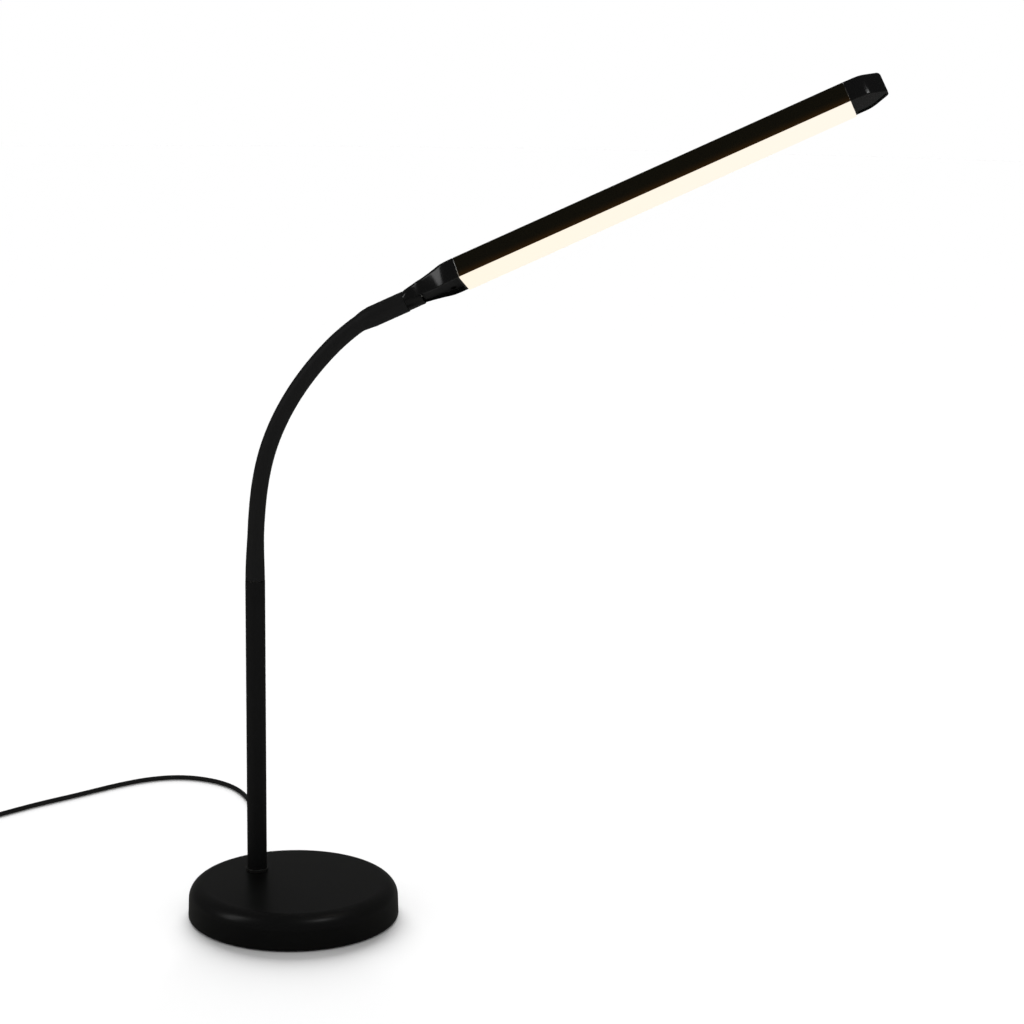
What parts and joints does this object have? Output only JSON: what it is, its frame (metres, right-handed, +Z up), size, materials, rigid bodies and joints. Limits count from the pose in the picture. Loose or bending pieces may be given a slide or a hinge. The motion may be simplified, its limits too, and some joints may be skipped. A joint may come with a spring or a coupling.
{
  "type": "gooseneck desk lamp",
  "caption": "Desk lamp with a round weighted base, an upright tube, a bendable gooseneck arm and a straight light bar that turns on the arm's end, with its cord coiled beside it.",
  "frame": {"origin": "middle of the flat underside that the lamp stands on", "axes": "+Z up; +X the way the arm leans; +Y towards the back, where the cord leaves"},
  "size_m": [0.7707, 0.3723, 0.6022],
  "materials": {
    "base_gloss": "satin black moulded shell",
    "plated_steel": "zinc plated",
    "foot_foam": "matt black foam rubber",
    "cast_iron": "rough grey casting",
    "tube_paint": "satin black powder coat on steel",
    "cord_pvc": "satin black cord jacket",
    "plug_grip": "fine-textured black moulding",
    "plug_nickel": "bright nickel plate",
    "plug_insert": "white moulding",
    "bush_nylon": "natural nylon",
    "sleeve_rubber": "satin black silicone sleeve",
    "lead_jacket": "pale wire jacket",
    "wound_steel": "bright wound steel",
    "head_gloss": "gloss black moulding",
    "circuit_board": "green solder mask",
    "switch_black": "black moulding",
    "bar_anodised": "black anodised extrusion",
    "led_board": "white solder mask on aluminium",
    "led_phosphor": "yellow phosphor",
    "opal": "opal light-spreading acrylic",
    "button_satin": "satin black moulding"
  },
  "bodies": {
    "stand": {"base_cover": "base_gloss", "base_plate": "plated_steel", "base_pad": "foot_foam", "base_weight": "cast_iron", "base_screws": "plated_steel", "riser_tube": "tube_paint", "foot_collar": "tube_paint", "tube_washer": "plated_steel", "tube_nut": "plated_steel", "cord_relief": "cord_pvc", "inner_cord": "cord_pvc", "cord_run": "cord_pvc", "cord_coil": "cord_pvc", "cord_tail": "cord_pvc", "plug_grip": "plug_grip", "plug_shell": "plug_nickel", "plug_insert": "plug_insert", "swivel_bush": "bush_nylon"},
    "arm_root": {"root_fitting": "plated_steel", "root_boot": "sleeve_rubber", "root_lead": "lead_jacket"},
    "arm_1": {"arm_core_1": "wound_steel", "arm_sleeve_1": "sleeve_rubber", "arm_lead_1": "lead_jacket"},
    "arm_2": {"arm_core_2": "wound_steel", "arm_sleeve_2": "sleeve_rubber", "arm_lead_2": "lead_jacket"},
    "arm_3": {"arm_core_3": "wound_steel", "arm_sleeve_3": "sleeve_rubber", "arm_lead_3": "lead_jacket"},
    "arm_4": {"arm_core_4": "wound_steel", "arm_sleeve_4": "sleeve_rubber", "arm_lead_4": "lead_jacket"},
    "arm_5": {"arm_core_5": "wound_steel", "arm_sleeve_5": "sleeve_rubber", "arm_lead_5": "lead_jacket"},
    "arm_6": {"arm_core_6": "wound_steel", "arm_sleeve_6": "sleeve_rubber", "arm_lead_6": "lead_jacket"},
    "arm_7": {"arm_core_7": "wound_steel", "arm_sleeve_7": "sleeve_rubber", "arm_lead_7": "lead_jacket"},
    "arm_tip": {"tip_fitting": "plated_steel", "tip_boot": "sleeve_rubber", "tip_lead": "lead_jacket"},
    "head": {"neck_bush": "bush_nylon", "neck_shell": "head_gloss", "neck_lid": "head_gloss", "lid_screws": "plated_steel", "driver_board": "circuit_board", "switch_body": "switch_black", "head_lead": "lead_jacket", "led_lead": "lead_jacket", "light_channel": "bar_anodised", "led_board": "led_board", "led_chips": "led_phosphor", "diffuser": "opal", "end_cap": "head_gloss"},
    "button": {"power_button": "button_satin"}
  },
  "joints": [
    {"name": "arm_swing", "type": "hinge", "parent": "stand", "child": "arm_root", "pos_m": [-0.0295, 0.02, 0.2406], "axis": [0, 0, 1], "range_deg": [-150, 150]},
    {"name": "arm_bend_1", "type": "hinge", "parent": "arm_root", "child": "arm_1", "pos_m": [-0.02874, 0.02, 0.27599], "axis": [0, 1, 0], "range_deg": [-8, 9]},
    {"name": "arm_bend_2", "type": "hinge", "parent": "arm_1", "child": "arm_2", "pos_m": [-0.02687, 0.02, 0.29991], "axis": [0, 1, 0], "range_deg": [-8, 9]},
    {"name": "arm_bend_3", "type": "hinge", "parent": "arm_2", "child": "arm_3", "pos_m": [-0.02287, 0.02, 0.32356], "axis": [0, 1, 0], "range_deg": [-8, 9]},
    {"name": "arm_bend_4", "type": "hinge", "parent": "arm_3", "child": "arm_4", "pos_m": [-0.01566, 0.02, 0.34643], "axis": [0, 1, 0], "range_deg": [-8, 9]},
    {"name": "arm_bend_5", "type": "hinge", "parent": "arm_4", "child": "arm_5", "pos_m": [-0.00519, 0.02, 0.368], "axis": [0, 1, 0], "range_deg": [-8, 9]},
    {"name": "arm_bend_6", "type": "hinge", "parent": "arm_5", "child": "arm_6", "pos_m": [0.00798, 0.02, 0.38805], "axis": [0, 1, 0], "range_deg": [-8, 9]},
    {"name": "arm_bend_7", "type": "hinge", "parent": "arm_6", "child": "arm_7", "pos_m": [0.02337, 0.02, 0.40645], "axis": [0, 1, 0], "range_deg": [-8, 9]},
    {"name": "arm_bend_8", "type": "hinge", "parent": "arm_7", "child": "arm_tip", "pos_m": [0.04104, 0.02, 0.42265], "axis": [0, 1, 0], "range_deg": [-8, 9]},
    {"name": "head_turn", "type": "hinge", "parent": "arm_tip", "child": "head", "pos_m": [0.07642, 0.02, 0.44114], "axis": [0.9033, 0, 0.4289], "range_deg": [-29.5, 90.5]},
    {"name": "button_press", "type": "slide", "parent": "head", "child": "button", "axis": [0.3696, -0.5075, -0.7783], "range_m": [0, 0.0008], "stiffness_N_per_m": 900, "springref_m": -0.0008}
  ]
}
